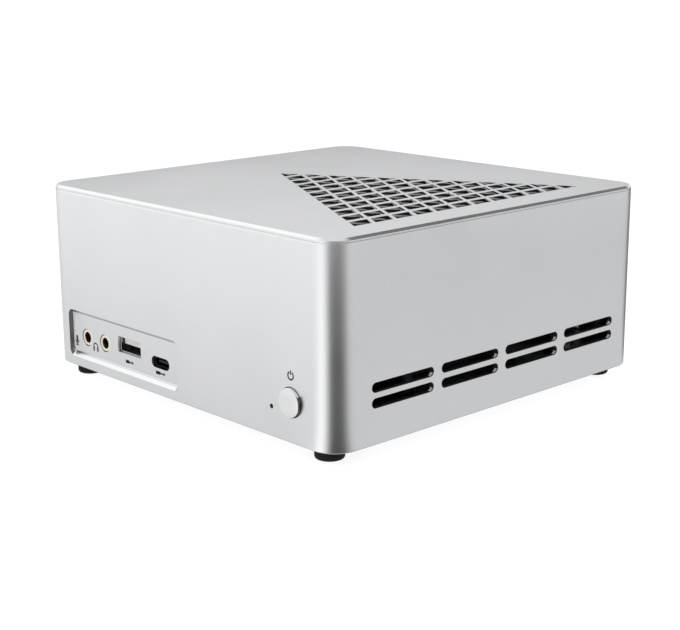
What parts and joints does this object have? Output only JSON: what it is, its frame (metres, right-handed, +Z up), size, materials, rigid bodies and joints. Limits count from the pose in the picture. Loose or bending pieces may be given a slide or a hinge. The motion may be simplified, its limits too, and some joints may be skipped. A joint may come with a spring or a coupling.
{
  "type": "mini desktop computer",
  "caption": "Low square aluminium mini computer with a triangular top vent, side air slots, sunken front ports, round power button and rubber feet.",
  "frame": {"origin": "middle of the bounding box of the object on the surface it stands on, level with the bottom of the feet", "axes": "-Y out of the front face with the ports and power button, +X to the right seen from the front, +Z up"},
  "size_m": [0.155, 0.1529, 0.0713],
  "materials": {
    "shell_aluminium": "bead-blasted and anodised silver",
    "cover_aluminium": "bead-blasted and anodised silver, bright bevel",
    "base_plate": "black powder coat",
    "black_rubber": "matt moulded rubber",
    "screw_steel": "zinc plated",
    "button_metal": "spun satin",
    "black_plastic": "moulded",
    "lamp_lens": "clear tinted lens, unlit",
    "board_laminate": "solder mask",
    "standoff_brass": "turned",
    "jack_pink": "moulded colour code",
    "jack_green": "moulded colour code",
    "bushing_metal": "pale nickel and gold plate",
    "port_steel": "tin plated sheet",
    "shield_steel": "pressed sheet",
    "tongue_plastic": "pale moulded contact carrier",
    "heatsink_aluminium": "extruded and milled",
    "fan_plastic": "moulded glass-filled plastic",
    "motor_copper": "enamelled copper winding",
    "bearing_bronze": "sintered bronze",
    "chip_nickel": "nickel plated lid",
    "memory_laminate": "solder mask with black chips",
    "drive_laminate": "solder mask with black chips",
    "cell_steel": "stainless can",
    "coil_ferrite": "pressed ferrite",
    "capacitor_can": "drawn can",
    "cable_sleeve": "braided sleeve"
  },
  "bodies": {
    "case": {"outer_shell": "shell_aluminium", "top_cover": "cover_aluminium", "bottom_cover": "base_plate", "rubber_feet": "black_rubber", "case_screws": "screw_steel", "power_switch": "black_plastic", "activity_led": "lamp_lens", "mainboard": "board_laminate", "board_standoffs": "standoff_brass", "board_screws": "screw_steel", "mic_jack": "jack_pink", "headphone_jack": "jack_green", "mic_jack_bushing": "bushing_metal", "headphone_jack_bushing": "bushing_metal", "front_usb_a_shell": "port_steel", "front_usb_a_tongue": "tongue_plastic", "front_usb_c_shell": "port_steel", "front_usb_c_tongue": "black_plastic", "rear_port_shield": "shield_steel", "dc_jack": "black_plastic", "dc_jack_pin": "port_steel", "hdmi_shell": "port_steel", "hdmi_tongue": "black_plastic", "display_port_shell": "port_steel", "display_port_tongue": "black_plastic", "network_jack": "black_plastic", "rear_usb_shells": "port_steel", "rear_usb_tongues": "tongue_plastic", "cpu_socket": "black_plastic", "cpu": "chip_nickel", "cpu_load_plate": "port_steel", "cpu_load_lever": "screw_steel", "heatsink": "heatsink_aluminium", "heatsink_backplate": "base_plate", "heatsink_screws": "screw_steel", "fan_frame": "fan_plastic", "fan_bearing": "bearing_bronze", "fan_motor_stator": "motor_copper", "fan_screws": "screw_steel", "fan_header": "black_plastic", "fan_plug": "black_plastic", "fan_cable": "cable_sleeve", "memory_socket_lower": "black_plastic", "memory_socket_upper": "black_plastic", "memory_module_lower": "memory_laminate", "memory_module_upper": "memory_laminate", "ssd_socket": "black_plastic", "ssd_card": "drive_laminate", "ssd_standoff": "standoff_brass", "ssd_screw": "screw_steel", "coin_cell_holder": "black_plastic", "coin_cell": "cell_steel", "chipset_heatsink": "heatsink_aluminium", "power_inductors": "coil_ferrite", "power_capacitors": "capacitor_can"},
    "power_button": {"power_button": "button_metal", "power_switch_plunger": "black_plastic"},
    "fan_rotor": {"fan_rotor": "fan_plastic", "fan_shaft": "screw_steel"}
  },
  "joints": [
    {"name": "power_button_press", "type": "slide", "parent": "case", "child": "power_button", "axis": [0, 1, 0], "range_m": [0, 0.0008], "stiffness_N_per_m": 600, "springref_m": -0.0008},
    {"name": "fan_spin", "type": "hinge", "parent": "case", "child": "fan_rotor", "pos_m": [0.032, 0, 0.0553], "axis": [0, 0, 1], "continuous": true}
  ]
}
